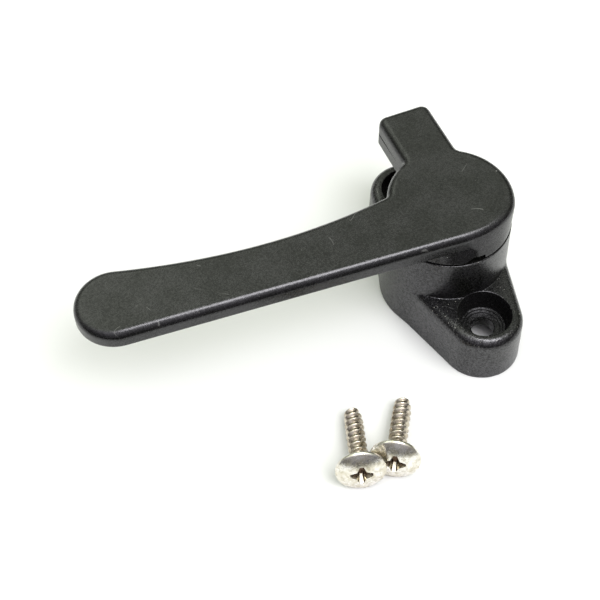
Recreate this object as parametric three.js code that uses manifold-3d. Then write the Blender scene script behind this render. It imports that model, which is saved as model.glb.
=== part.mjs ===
// Tilt turn handle for a window or shutter, in millimetres.
// The origin is on the pivot axis, in the plane of the mounting face. +Z points away from the window,
// +Y runs along the two screw holes towards the nose, and the lever points to -X at rest.
import * as THREE from "three";
import { mergeVertices } from "three/addons/utils/BufferGeometryUtils.js";
import Module from "manifold-3d";

const { degToRad } = THREE.MathUtils;
const wasm = await Module();
wasm.setup();

// ---- Driving dimensions ----

const GAP = 0.3; // clearance between neighbouring pieces

// Base: a lozenge flange, which is the hull of a middle circle and two lobes, under a round boss
const HOLE_PITCH = 42;
const LOBE_RADIUS_LOW = 9.4;
const LOBE_RADIUS_HIGH = 9.1;
const WAIST_RADIUS_LOW = 15.1;
const WAIST_RADIUS_HIGH = 14.25;
const FLANGE_TOP = 13.3;
const FLANGE_FILLET = 1.6;
const BOSS_TOP = 25.3;
const BOSS_RADIUS_LOW = 15.3;
const BOSS_RADIUS_HIGH = 14.8;
const BOSS_RIM_CHAMFER = 0.3;
const SCREW_HOLE_RADIUS = 2.98;
const COUNTERBORE_FLOOR = 8.1;
const COUNTERBORE_RADIUS_LOW = 5.25;
const COUNTERBORE_RADIUS_HIGH = 6.35;
const RELIEF_RADIUS = 6.4;
const RELIEF_TOP = 4.6;
const RECESS_RADIUS = 11.5;
const RECESS_TOP = 13;
const BORE_RADIUS = 4.4;
const BUSH_SEAT_RADIUS = 7.5;
const BUSH_SEAT_FLOOR = 23.1;

// Turning handle: an upper half with the lever, over a lower half with the collar
const COLLAR_BOTTOM = BOSS_TOP + GAP;
const PARTING = 28.8;
const LEVER_BOTTOM = PARTING + GAP;
const LEVER_TOP = 33.4;
const LEVER_FILLET = 1.9;
const HUB_RADIUS = 14.8;
const COLLAR_RADIUS = 14.65;
const LEVER_TIP_CENTRE = new THREE.Vector2(-80.9, 1.75);
const LEVER_TIP_RADIUS = 9.2;
const TIP_NEAR_ANGLE = degToRad(-94); // ends of the tip's arc
const TIP_FAR_ANGLE = degToRad(74);
const WAIST_PULL = new THREE.Vector2(-44.7, 1); // control point of the hollow far edge
const WAIST_ANGLE = degToRad(156); // where the far edge meets the hub circle
const BEND_START = new THREE.Vector2(-3, -12.94); // where the straight near edge starts to bend
const BEND_START_PULL = new THREE.Vector2(7.5, -13.68);
const BEND_END_PULL = new THREE.Vector2(11.93, -9.42);
const BEND_END_ANGLE = degToRad(-25); // where the bend meets the hub circle
const NOSE_LEFT = -5.5;
const NOSE_RIGHT = 7.8;
const NOSE_TIP = 29.15;
const NOSE_CORNER = 2.2;
const COLLAR_DIP = 2.2; // how far the collar's upper rim draws in under the near edge
const COLLAR_DIP_ANGLE = degToRad(-90);
const COLLAR_DIP_SPREAD = degToRad(60);
const NOTCH_ANGLE = degToRad(-91.75); // middle of a ramp cut in the collar's lower rim
const NOTCH_LENGTH = 5.2;
const NOTCH_DEPTH = 0.8; // at the end of the ramp
const NOTCH_REACH = 1; // how far it is cut inwards from the collar's side

// Pivot: a stud through two bushes, with its washers and nut in the recess under the boss.
// Each span is a pair of heights.
const STUD_RADIUS = 3;
const STUD_SPAN = [2.6, 28.2];
const STUD_TIP_CHAMFER = 0.5;
const STUD_HEX_SPAN = [28, 31.2];
const STUD_HEX_ACROSS_FLATS = 11;
const STUD_CLEARANCE_RADIUS = STUD_RADIUS + GAP;
const BUSH_WALL = 0.8;
const UPPER_BUSH = { sleeveSpan: [18.5, 23.6], flangeSpan: [23.4, 24.4], flangeRadius: 7.2 };
const LOWER_BUSH = { sleeveSpan: [12.5, 17], flangeSpan: [11.7, 12.7], flangeRadius: 6.5 };
const THRUST_WASHER = { span: [24.7, BOSS_TOP], innerRadius: 3.4, outerRadius: 7.1 };
const PLAIN_WASHER = { span: [8.7, 9.9], innerRadius: STUD_CLEARANCE_RADIUS, outerRadius: 7.5 };
const WAVE_SPRING = { span: [10.6, 11], innerRadius: 3.6, outerRadius: 6.8, height: 0.35, waves: 3 };
const NUT_SPAN = [4.6, 8.4];
const NUT_ACROSS_FLATS = 10;
const NUT_COLLAR_SPAN = [3.4, 5];
const NUT_COLLAR_RADIUS = 4.5;
const CAP_SPAN = [0, 1.8];
const CAP_CHAMFER = 0.4;
const CAP_PRY_SLOT = [3, 1.4, 1.6];

// Click stops and end stop
const BALL_RADIUS = 1.2;
const BALL_HOLE_RADIUS = 1.4;
const BALL_CIRCLE = 9.4;
const BALL_HOLE_FLOOR = 17;
const BALL_ANGLES = [45, 225].map(degToRad);
const DIMPLE_ANGLES = [45, 135, 225, 315].map(degToRad);
const DIMPLE_DEPTH = 0.45;
const SPRING_SPAN = [BALL_HOLE_FLOOR + 0.6, 22.5];
const SPRING_RADIUS = 0.85;
const SPRING_WIRE_RADIUS = 0.18;
const SPRING_TURNS = 6;
const STOP_RADIUS = 0.8;
const STOP_CIRCLE = 12.2;
const STOP_ANGLE = degToRad(135);
const STOP_TOP = 26.6;
const STOP_HOLE_FLOOR = 20;
const GROOVE_HALF_WIDTH = 1.15;
const GROOVE_TOP = 27.2;
const GROOVE_HALF_SPAN = degToRad(96);

// Screws
const CAM_SCREW_X = 1.05;
const CAM_SCREW_Y = [18.5, 25];
const CAM_SCREW_HEAD_SPAN = [25.8, 26.9];
const CAM_SCREW_HEAD_RADIUS = 2.3;
const CAM_SCREW_SHANK_SPAN = [26.8, 31.8];
const CAM_SCREW_SHANK_RADIUS = 1.2;
const CAM_SCREW_CROSS = [2.6, 0.6, 1.4];
const FIXING_LENGTH = 17.6;
const FIXING_HEAD_RADIUS = 5.8;
const FIXING_HEAD_HEIGHT = 2.4;
const FIXING_HEAD_EDGE = 1; // height of the head's straight rim
const FIXING_HEAD_EDGE_INSET = 0.1;
const FIXING_CROSS = [5, 1, 3];
const FIXING_TIP_CHAMFER = 0.4;
const FIXING_FIRST_CREST = 1.6;
const FIXING_TIP_RADIUS = 1.9;
const FIXING_CREST_RADIUS = 2.2;
const FIXING_ROOT_RADIUS = 1.65;
const FIXING_PITCH = 1.8;
const FIXING_THREADS = 8;

// ---- Materials ----

const nylon = new THREE.MeshStandardMaterial({ color: 0x1c1c1d, roughness: 0.45, metalness: 0 });
const acetal = new THREE.MeshStandardMaterial({ color: 0xe9e7df, roughness: 0.4, metalness: 0 });
const steel = new THREE.MeshStandardMaterial({ color: 0xa9a7a2, roughness: 0.35, metalness: 1 });
const nickel = new THREE.MeshStandardMaterial({ color: 0xd8d2c6, roughness: 0.2, metalness: 1 });

// ---- Shapes ----

// A closed geometry as a solid that can be joined and cut.
function solidOf(geometry) {
  const bare = geometry.clone();
  bare.deleteAttribute("normal");
  bare.deleteAttribute("uv");
  const merged = mergeVertices(bare, 1e-4);
  return new wasm.Manifold(
    new wasm.Mesh({
      numProp: 3,
      vertProperties: merged.attributes.position.array,
      triVerts: new Uint32Array(merged.index.array),
    }),
  );
}

// A solid as a flat-shaded geometry.
function geometryOf(solid) {
  const mesh = solid.getMesh();
  const geometry = new THREE.BufferGeometry();
  geometry.setAttribute("position", new THREE.BufferAttribute(mesh.vertProperties, 3));
  geometry.setIndex(new THREE.BufferAttribute(mesh.triVerts, 1));
  const flat = geometry.toNonIndexed();
  flat.computeVertexNormals();
  return flat;
}

function namedMesh(name, solid, material) {
  const mesh = new THREE.Mesh(geometryOf(solid), material);
  mesh.name = name;
  return mesh;
}

// An upright cylinder or cone between two heights.
function column(zLow, zHigh, radiusLow, options = {}) {
  const { radiusHigh = radiusLow, x = 0, y = 0, sides = 32 } = options;
  const geometry = new THREE.CylinderGeometry(radiusHigh, radiusLow, zHigh - zLow, sides);
  geometry.rotateX(Math.PI / 2);
  geometry.translate(x, y, (zLow + zHigh) / 2);
  return solidOf(geometry);
}

function ring(zLow, zHigh, innerRadius, outerRadius, sides = 32) {
  return turned(
    [
      [innerRadius, zLow],
      [outerRadius, zLow],
      [outerRadius, zHigh],
      [innerRadius, zHigh],
      [innerRadius, zLow],
    ],
    sides,
  );
}

function hexagon(zLow, zHigh, acrossFlats) {
  return column(zLow, zHigh, acrossFlats / Math.sqrt(3), { sides: 6 });
}

function block(size, centre, angle = 0) {
  const geometry = new THREE.BoxGeometry(...size);
  geometry.translate(...centre);
  geometry.rotateZ(angle);
  return solidOf(geometry);
}

function ball(radius, x, y, z, sides = 16) {
  const geometry = new THREE.SphereGeometry(radius, sides, sides / 2);
  geometry.translate(x, y, z);
  return solidOf(geometry);
}

// A profile of [radius, height] pairs turned about the Z axis.
function turned(profile, sides = 32) {
  const points = profile.map(([radius, height]) => new THREE.Vector2(radius, height));
  const geometry = new THREE.LatheGeometry(points, sides);
  geometry.rotateX(Math.PI / 2);
  return solidOf(geometry);
}

function prism(shape, zLow, zHigh, curveSegments = 12) {
  const geometry = new THREE.ExtrudeGeometry(shape, {
    depth: zHigh - zLow,
    bevelEnabled: false,
    curveSegments,
  });
  geometry.translate(0, 0, zLow);
  return solidOf(geometry);
}

// A prism whose upper edge is rounded and whose lower edge is sharp.
function roundedPrism(shape, zLow, zHigh, fillet, curveSegments) {
  const geometry = new THREE.ExtrudeGeometry(shape, {
    depth: zHigh - zLow,
    bevelThickness: fillet,
    bevelSize: fillet,
    bevelOffset: -fillet,
    bevelSegments: 4,
    curveSegments,
  });
  geometry.translate(0, 0, zLow - fillet);
  return solidOf(geometry).trimByPlane([0, 0, 1], zLow);
}

// A skin through outlines of equal length, each at its own height, closed by a flat face at either end.
function loft(levels) {
  const count = levels[0].outline.length;
  const positions = levels.flatMap(({ outline, z }) => outline.flatMap((p) => [p.x, p.y, z]));
  const index = [];
  for (let level = 0; level + 1 < levels.length; level++) {
    for (let i = 0; i < count; i++) {
      const a = level * count + i;
      const b = level * count + ((i + 1) % count);
      index.push(a, b, b + count, a, b + count, a + count);
    }
  }
  const last = (levels.length - 1) * count;
  for (const [a, b, c] of THREE.ShapeUtils.triangulateShape(levels[0].outline, [])) {
    index.push(c, b, a);
    index.push(last + a, last + b, last + c);
  }
  const geometry = new THREE.BufferGeometry();
  geometry.setAttribute("position", new THREE.Float32BufferAttribute(positions, 3));
  geometry.setIndex(index);
  return solidOf(geometry);
}

function onCircle(radius, angle) {
  return [radius * Math.cos(angle), radius * Math.sin(angle)];
}

// ---- Base ----

// Outline of the flange: the hull of the waist circle and the two lobes, counterclockwise.
function lozenge(lobeRadius, waistRadius) {
  const offset = HOLE_PITCH / 2;
  const turn = Math.asin((waistRadius - lobeRadius) / offset);
  const shape = new THREE.Shape();
  shape.absarc(0, 0, waistRadius, -turn, turn);
  shape.absarc(0, offset, lobeRadius, turn, Math.PI - turn);
  shape.absarc(0, 0, waistRadius, Math.PI - turn, Math.PI + turn);
  shape.absarc(0, -offset, lobeRadius, Math.PI + turn, 2 * Math.PI - turn);
  return shape.getPoints(8).slice(0, -1);
}

function flange() {
  const levels = [{ outline: lozenge(LOBE_RADIUS_LOW, WAIST_RADIUS_LOW), z: 0 }];
  const steps = 4;
  for (let step = 0; step <= steps; step++) {
    const angle = (step / steps) * (Math.PI / 2);
    const inset = FLANGE_FILLET * (1 - Math.cos(angle));
    levels.push({
      outline: lozenge(LOBE_RADIUS_HIGH - inset, WAIST_RADIUS_HIGH - inset),
      z: FLANGE_TOP - FLANGE_FILLET * (1 - Math.sin(angle)),
    });
  }
  return loft(levels);
}

function boss() {
  return turned(
    [
      [0, 0],
      [BOSS_RADIUS_LOW, 0],
      [BOSS_RADIUS_HIGH, BOSS_TOP - BOSS_RIM_CHAMFER],
      [BOSS_RADIUS_HIGH - BOSS_RIM_CHAMFER, BOSS_TOP],
      [0, BOSS_TOP],
    ],
    64,
  );
}

// Everything cut out at one screw hole: counterbore from above, clearance hole, relief from below.
function screwHoleCut(y) {
  const slope = (COUNTERBORE_RADIUS_HIGH - COUNTERBORE_RADIUS_LOW) / (FLANGE_TOP - COUNTERBORE_FLOOR);
  const above = FLANGE_TOP + 1;
  const counterbore = column(COUNTERBORE_FLOOR, above, COUNTERBORE_RADIUS_LOW, {
    radiusHigh: COUNTERBORE_RADIUS_HIGH + slope * (above - FLANGE_TOP),
    y,
    sides: 40,
  });
  const hole = column(-1, COUNTERBORE_FLOOR + 1, SCREW_HOLE_RADIUS, { y });
  const relief = column(-1, RELIEF_TOP, RELIEF_RADIUS, { y });
  return counterbore.add(hole).add(relief);
}

function baseBody() {
  const above = BOSS_TOP + 1;
  let body = flange().add(boss());
  for (const y of [-HOLE_PITCH / 2, HOLE_PITCH / 2]) {
    body = body.subtract(screwHoleCut(y));
  }
  body = body
    .subtract(column(-1, RECESS_TOP, RECESS_RADIUS, { sides: 48 }))
    .subtract(column(RECESS_TOP - 1, above, BORE_RADIUS))
    .subtract(column(BUSH_SEAT_FLOOR, above, BUSH_SEAT_RADIUS));
  for (const angle of BALL_ANGLES) {
    const [x, y] = onCircle(BALL_CIRCLE, angle);
    body = body.subtract(column(BALL_HOLE_FLOOR, above, BALL_HOLE_RADIUS, { x, y, sides: 16 }));
  }
  const [x, y] = onCircle(STOP_CIRCLE, STOP_ANGLE);
  return body.subtract(column(STOP_HOLE_FLOOR, above, STOP_RADIUS + GAP, { x, y, sides: 16 }));
}

function recessCap() {
  const radius = RECESS_RADIUS - GAP;
  const [bottom, top] = CAP_SPAN;
  const disc = turned([
    [0, bottom],
    [radius - CAP_CHAMFER, bottom],
    [radius, bottom + CAP_CHAMFER],
    [radius, top],
    [0, top],
  ]);
  return disc.subtract(block(CAP_PRY_SLOT, [radius - 1, 0, bottom]));
}

// ---- Turning handle ----

// Plan of the upper half, counterclockwise from the near side of the lever's tip.
function handleOutline() {
  const tip = LEVER_TIP_CENTRE;
  const onTip = (angle) => new THREE.Vector2(...onCircle(LEVER_TIP_RADIUS, angle)).add(tip);
  const bendEnd = new THREE.Vector2(...onCircle(HUB_RADIUS, BEND_END_ANGLE));
  const near = onTip(TIP_NEAR_ANGLE);
  const far = onTip(TIP_FAR_ANGLE);
  const shape = new THREE.Shape();
  shape.moveTo(near.x, near.y);
  shape.lineTo(BEND_START.x, BEND_START.y);
  shape.bezierCurveTo(...BEND_START_PULL, ...BEND_END_PULL, ...bendEnd);
  shape.absarc(0, 0, HUB_RADIUS, BEND_END_ANGLE, Math.acos(NOSE_RIGHT / HUB_RADIUS));
  addNoseTip(shape);
  shape.absarc(0, 0, HUB_RADIUS, Math.acos(NOSE_LEFT / HUB_RADIUS), WAIST_ANGLE);
  shape.quadraticCurveTo(...WAIST_PULL, ...far);
  shape.absarc(tip.x, tip.y, LEVER_TIP_RADIUS, TIP_FAR_ANGLE, 2 * Math.PI + TIP_NEAR_ANGLE);
  return shape;
}

// The nose's two straight sides and rounded corners, from its right side round to its left.
function addNoseTip(shape) {
  const y = NOSE_TIP - NOSE_CORNER;
  shape.absarc(NOSE_RIGHT - NOSE_CORNER, y, NOSE_CORNER, 0, Math.PI / 2);
  shape.absarc(NOSE_LEFT + NOSE_CORNER, y, NOSE_CORNER, Math.PI / 2, Math.PI);
}

// Clearance round the stud's hexagon, as deep as the stud needs.
function hexPocket(zLow) {
  return hexagon(zLow, STUD_HEX_SPAN[1] + GAP, STUD_HEX_ACROSS_FLATS + 2 * GAP);
}

// Clearance round the two cam plate screws.
function camScrewHoles() {
  const [headLow, headHigh] = CAM_SCREW_HEAD_SPAN;
  const holes = CAM_SCREW_Y.map((y) => {
    const at = { x: CAM_SCREW_X, y, sides: 20 };
    const head = column(headLow - 1, headHigh + GAP, CAM_SCREW_HEAD_RADIUS + GAP, at);
    return head.add(column(headLow, CAM_SCREW_SHANK_SPAN[1] + GAP, CAM_SCREW_SHANK_RADIUS + GAP, at));
  });
  return holes[0].add(holes[1]);
}

function handleLever() {
  return roundedPrism(handleOutline(), LEVER_BOTTOM, LEVER_TOP, LEVER_FILLET, 10)
    .subtract(hexPocket(LEVER_BOTTOM - 1))
    .subtract(camScrewHoles());
}

// The collar changes from a circle below to a rim above that follows the hub's near edge.
function collar() {
  const count = 72;
  const lower = [];
  const upper = [];
  for (let i = 0; i < count; i++) {
    const angle = (i / count) * 2 * Math.PI - Math.PI;
    const offset = (angle - COLLAR_DIP_ANGLE) / COLLAR_DIP_SPREAD;
    const dip = Math.abs(offset) < 1 ? COLLAR_DIP * Math.cos((offset * Math.PI) / 2) ** 2 : 0;
    lower.push(new THREE.Vector2(...onCircle(COLLAR_RADIUS, angle)));
    upper.push(new THREE.Vector2(...onCircle(HUB_RADIUS - dip, angle)));
  }
  return loft([
    { outline: lower, z: COLLAR_BOTTOM },
    { outline: upper, z: PARTING },
  ]);
}

function lowerNose() {
  const rootY = HUB_RADIUS / 2;
  const shape = new THREE.Shape();
  shape.moveTo(NOSE_RIGHT, rootY);
  addNoseTip(shape);
  shape.lineTo(NOSE_LEFT, rootY);
  return prism(shape, COLLAR_BOTTOM, PARTING, 4);
}

// The arc groove that the stop pin runs in.
function stopGroove() {
  const start = STOP_ANGLE - GROOVE_HALF_SPAN;
  const end = STOP_ANGLE + GROOVE_HALF_SPAN;
  const shape = new THREE.Shape();
  shape.absarc(0, 0, STOP_CIRCLE + GROOVE_HALF_WIDTH, start, end, false);
  shape.absarc(0, 0, STOP_CIRCLE - GROOVE_HALF_WIDTH, end, start, true);
  return prism(shape, COLLAR_BOTTOM - 1, GROOVE_TOP, 20);
}

// A short ramp along the collar's lower rim, deepest at its right end.
function rimNotch() {
  const ramp = new THREE.Shape();
  ramp.moveTo(-NOTCH_LENGTH / 2, 0);
  ramp.lineTo(-NOTCH_LENGTH / 2, -1);
  ramp.lineTo(NOTCH_LENGTH / 2, -1);
  ramp.lineTo(NOTCH_LENGTH / 2, NOTCH_DEPTH);
  const geometry = new THREE.ExtrudeGeometry(ramp, { depth: 2 * NOTCH_REACH, bevelEnabled: false });
  geometry.rotateX(Math.PI / 2);
  geometry.translate(0, NOTCH_REACH - COLLAR_RADIUS, COLLAR_BOTTOM);
  geometry.rotateZ(NOTCH_ANGLE + Math.PI / 2);
  return solidOf(geometry);
}

function camPlate() {
  let plate = collar()
    .add(lowerNose())
    .subtract(column(COLLAR_BOTTOM - 1, LEVER_BOTTOM, STUD_CLEARANCE_RADIUS))
    .subtract(hexPocket(STUD_HEX_SPAN[0] - GAP))
    .subtract(camScrewHoles())
    .subtract(stopGroove())
    .subtract(rimNotch());
  for (const angle of DIMPLE_ANGLES) {
    const [x, y] = onCircle(BALL_CIRCLE, angle);
    plate = plate.subtract(ball(BALL_RADIUS, x, y, COLLAR_BOTTOM + DIMPLE_DEPTH - BALL_RADIUS));
  }
  return plate;
}

function camPlateScrew(y) {
  const headFace = [0, 0, CAM_SCREW_HEAD_SPAN[0]];
  return column(...CAM_SCREW_HEAD_SPAN, CAM_SCREW_HEAD_RADIUS, { sides: 20 })
    .add(column(...CAM_SCREW_SHANK_SPAN, CAM_SCREW_SHANK_RADIUS, { sides: 16 }))
    .subtract(block(CAM_SCREW_CROSS, headFace))
    .subtract(block(CAM_SCREW_CROSS, headFace, Math.PI / 2))
    .translate(CAM_SCREW_X, y, 0);
}

// ---- Pivot ----

function pivotStud() {
  const [end, neck] = STUD_SPAN;
  const shank = turned(
    [
      [0, end],
      [STUD_RADIUS - STUD_TIP_CHAMFER, end],
      [STUD_RADIUS, end + STUD_TIP_CHAMFER],
      [STUD_RADIUS, neck],
      [0, neck],
    ],
    24,
  );
  return shank.add(hexagon(...STUD_HEX_SPAN, STUD_HEX_ACROSS_FLATS));
}

// A sleeve with a flange at one end.
function bush({ sleeveSpan, flangeSpan, flangeRadius }) {
  const inner = STUD_CLEARANCE_RADIUS;
  return ring(...sleeveSpan, inner, inner + BUSH_WALL).add(ring(...flangeSpan, inner, flangeRadius));
}

function washer({ span, innerRadius, outerRadius }) {
  return ring(...span, innerRadius, outerRadius);
}

function waveSpring() {
  const { span, innerRadius, outerRadius, height, waves } = WAVE_SPRING;
  const shape = new THREE.Shape();
  shape.absarc(0, 0, outerRadius, 0, 2 * Math.PI);
  const hole = new THREE.Path();
  hole.absarc(0, 0, innerRadius, 0, 2 * Math.PI);
  shape.holes.push(hole);
  const depth = span[1] - span[0];
  const geometry = new THREE.ExtrudeGeometry(shape, { depth, bevelEnabled: false, curveSegments: 24 });
  const position = geometry.getAttribute("position");
  for (let i = 0; i < position.count; i++) {
    const angle = Math.atan2(position.getY(i), position.getX(i));
    position.setZ(i, position.getZ(i) + span[0] + height * Math.cos(waves * angle));
  }
  return solidOf(geometry);
}

function retainingNut() {
  const bore = column(NUT_COLLAR_SPAN[0] - 1, NUT_SPAN[1] + 1, STUD_CLEARANCE_RADIUS, { sides: 24 });
  return hexagon(...NUT_SPAN, NUT_ACROSS_FLATS)
    .add(column(...NUT_COLLAR_SPAN, NUT_COLLAR_RADIUS))
    .subtract(bore);
}

// ---- Click stops and end stop ----

class Coil extends THREE.Curve {
  constructor(radius, zLow, zHigh, turns) {
    super();
    Object.assign(this, { radius, zLow, zHigh, turns });
  }

  getPoint(t, target = new THREE.Vector3()) {
    const [x, y] = onCircle(this.radius, 2 * Math.PI * this.turns * t);
    return target.set(x, y, THREE.MathUtils.lerp(this.zLow, this.zHigh, t));
  }
}

function detentSpring(angle) {
  const wire = new THREE.Shape();
  wire.absarc(0, 0, SPRING_WIRE_RADIUS, 0, 2 * Math.PI);
  const geometry = new THREE.ExtrudeGeometry(wire, {
    steps: 10 * SPRING_TURNS,
    extrudePath: new Coil(SPRING_RADIUS, ...SPRING_SPAN, SPRING_TURNS),
    curveSegments: 3,
  });
  return solidOf(geometry).translate(...onCircle(BALL_CIRCLE, angle), 0);
}

function detentBall(angle) {
  return ball(BALL_RADIUS, ...onCircle(BALL_CIRCLE, angle), BOSS_TOP + GAP / 2 - BALL_RADIUS);
}

function stopPin() {
  const [x, y] = onCircle(STOP_CIRCLE, STOP_ANGLE);
  return column(STOP_HOLE_FLOOR + GAP, STOP_TOP, STOP_RADIUS, { x, y, sides: 16 });
}

// ---- Fixing screws ----

// A truss-head screw along +Z: its tip at the origin and the underside of its head at FIXING_LENGTH.
function fixingScrew() {
  const profile = [
    [0, 0],
    [FIXING_TIP_RADIUS - FIXING_TIP_CHAMFER, 0],
  ];
  for (let thread = 0; thread < FIXING_THREADS; thread++) {
    const z = FIXING_FIRST_CREST + thread * FIXING_PITCH;
    profile.push([FIXING_ROOT_RADIUS, z - FIXING_PITCH / 2]);
    profile.push([FIXING_CREST_RADIUS, z]);
  }
  profile.push([FIXING_ROOT_RADIUS, FIXING_FIRST_CREST + (FIXING_THREADS - 0.5) * FIXING_PITCH]);
  profile.push([FIXING_CREST_RADIUS, FIXING_LENGTH]);
  profile.push([FIXING_HEAD_RADIUS, FIXING_LENGTH]);
  const capRadius = FIXING_HEAD_RADIUS - FIXING_HEAD_EDGE_INSET;
  const capHeight = FIXING_HEAD_HEIGHT - FIXING_HEAD_EDGE;
  const domeRadius = (capRadius ** 2 + capHeight ** 2) / (2 * capHeight);
  const capAngle = Math.asin(capRadius / domeRadius);
  const domeSteps = 5;
  for (let step = 0; step <= domeSteps; step++) {
    const angle = capAngle * (1 - step / domeSteps);
    const drop = domeRadius * (1 - Math.cos(angle));
    profile.push([domeRadius * Math.sin(angle), FIXING_LENGTH + FIXING_HEAD_HEIGHT - drop]);
  }
  const top = [0, 0, FIXING_LENGTH + FIXING_HEAD_HEIGHT];
  return turned(profile, 20)
    .subtract(block(FIXING_CROSS, top))
    .subtract(block(FIXING_CROSS, top, Math.PI / 2));
}

// A loose screw lies on the tip of its thread and the rim of its head, so its axis slopes.
function layScrew(mesh, tipX, tipY, headingDegrees) {
  const slope = Math.atan2(FIXING_HEAD_RADIUS - FIXING_TIP_RADIUS, FIXING_LENGTH);
  const heading = degToRad(headingDegrees);
  const direction = new THREE.Vector3(
    Math.cos(heading) * Math.cos(slope),
    Math.sin(heading) * Math.cos(slope),
    Math.sin(slope),
  );
  const across = new THREE.Vector3(-Math.sin(heading), Math.cos(heading), 0);
  const axes = new THREE.Matrix4().makeBasis(across, direction.clone().cross(across), direction);
  mesh.quaternion.setFromRotationMatrix(axes);
  mesh.position.set(tipX, tipY, FIXING_TIP_RADIUS * Math.cos(slope) + 0.01);
  return mesh;
}

// ---- Assembly ----

const base = new THREE.Group();
base.add(
  namedMesh("base_body", baseBody(), nylon),
  namedMesh("recess_cap", recessCap(), nylon),
  namedMesh("upper_bush", bush(UPPER_BUSH), acetal),
  namedMesh("lower_bush", bush(LOWER_BUSH), acetal),
  namedMesh("thrust_washer", washer(THRUST_WASHER), acetal),
  namedMesh("stop_pin", stopPin(), steel),
);
BALL_ANGLES.forEach((angle, i) => {
  base.add(
    namedMesh(`detent_spring_${i + 1}`, detentSpring(angle), steel),
    namedMesh(`detent_ball_${i + 1}`, detentBall(angle), steel),
  );
});

const handle = new THREE.Group();
handle.add(
  namedMesh("handle_lever", handleLever(), nylon),
  namedMesh("cam_plate", camPlate(), nylon),
  namedMesh("pivot_stud", pivotStud(), steel),
  namedMesh("wave_spring", waveSpring(), steel),
  namedMesh("plain_washer", washer(PLAIN_WASHER), steel),
  namedMesh("retaining_nut", retainingNut(), steel),
);
CAM_SCREW_Y.forEach((y, i) => {
  handle.add(namedMesh(`cam_plate_screw_${i + 1}`, camPlateScrew(y), steel));
});

const looseScrews = new THREE.Group();
looseScrews.add(
  layScrew(namedMesh("fixing_screw_1", fixingScrew(), nickel), -36.4, -26.8, 252),
  layScrew(namedMesh("fixing_screw_2", fixingScrew(), nickel), -24.3, -29, 238),
);

const tiltTurnHandle = new THREE.Group();
tiltTurnHandle.add(base, handle, looseScrews);

export default tiltTurnHandle;
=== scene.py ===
"""The looks of the tilt turn handle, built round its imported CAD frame.

Shapes are worked out in millimetres and scaled to metres when their mesh is made. +Z points away
from the window, the origin is on the pivot axis in the plane of the mounting face, and the lever
points to -X.
"""

import math

import bpy
import bmesh
import numpy as np
from mathutils import Matrix, Vector


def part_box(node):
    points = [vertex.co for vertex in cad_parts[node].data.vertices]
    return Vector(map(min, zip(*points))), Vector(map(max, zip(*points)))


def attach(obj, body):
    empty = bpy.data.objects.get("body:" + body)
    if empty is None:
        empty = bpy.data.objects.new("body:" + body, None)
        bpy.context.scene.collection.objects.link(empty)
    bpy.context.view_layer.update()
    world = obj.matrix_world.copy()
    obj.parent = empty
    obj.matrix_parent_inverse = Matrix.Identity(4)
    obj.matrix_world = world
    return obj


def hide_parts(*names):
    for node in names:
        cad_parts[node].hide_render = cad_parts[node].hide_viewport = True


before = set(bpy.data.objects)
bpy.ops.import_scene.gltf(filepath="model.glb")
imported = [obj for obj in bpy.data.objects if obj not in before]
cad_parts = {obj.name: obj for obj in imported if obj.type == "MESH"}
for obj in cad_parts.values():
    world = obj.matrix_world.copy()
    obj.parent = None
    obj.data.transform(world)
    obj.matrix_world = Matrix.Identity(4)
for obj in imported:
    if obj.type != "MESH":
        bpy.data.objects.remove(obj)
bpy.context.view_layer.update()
MM = 0.001


def span(node):
    """Lowest and highest corner of a CAD node, in millimetres."""
    low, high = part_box(node)
    return np.array(low) / MM, np.array(high) / MM


# ---- Driving dimensions, in millimetres and degrees ----

_, BASE_HIGH = span("base_body")
LEVER_LOW, LEVER_HIGH = span("handle_lever")
CAM_LOW, CAM_HIGH = span("cam_plate")

# Base: a radius named LOW is at the mounting face, and its draft is what it loses on the way up
HOLE_PITCH = 42
LOBE_RADIUS_LOW = BASE_HIGH[1] - HOLE_PITCH / 2
LOBE_DRAFT = 0.3
WAIST_RADIUS_LOW = 15.1
WAIST_DRAFT = 0.85
FLANGE_TOP = 13.3
FLANGE_FILLET = 2.2
BOSS_TOP = BASE_HIGH[2]
BOSS_RADIUS_LOW = BASE_HIGH[0]
BOSS_DRAFT = 0.5
BOSS_RIM_ROUND = 0.2
BOSS_FOOT_ROUND = 0.22
BOSS_BLEND = 0.5
SOLE_ROUND = 0.25

# Openings of the base
RECESS_RADIUS = 11.5
RECESS_TOP = 13
RECESS_CORNER = 0.4
PIVOT_BORE_RADIUS = 4.4
BUSH_SEAT_RADIUS = 7.5
BUSH_SEAT_FLOOR = 23.1
DETENT_ANGLES = (45, 225)
DETENT_POCKET = (1.4, 17, 9.4)  # radius, floor, distance from the pivot axis
STOP_PIN_ANGLE = 135
STOP_PIN_POCKET = (1.1, 20, 12.2)

# Screw hole, from below
RELIEF_RADIUS = 6.4
RELIEF_TOP = 4.6
RELIEF_CORNER = 0.3
CLEARANCE_RADIUS = 2.8
CLEARANCE_CHAMFER = 0.2
CLEARANCE_TOP = 7.64
SEAT_STEPS = (  # radius, height
    (2.93, 7.8),
    (4.02, 7.84),
    (4.1, 8.02),
    (4.16, 8.08),
    (4.66, 8.12),
    (4.74, 8.3),
    (4.8, 8.36),
    (5.26, 8.4),
    (5.36, 8.56),
    (5.4, 8.7),
)
COUNTERBORE_RADIUS = 6.33
COUNTERBORE_TAPER = 0.2  # radians
COUNTERBORE_RIM_ROUND = 0.22

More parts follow.
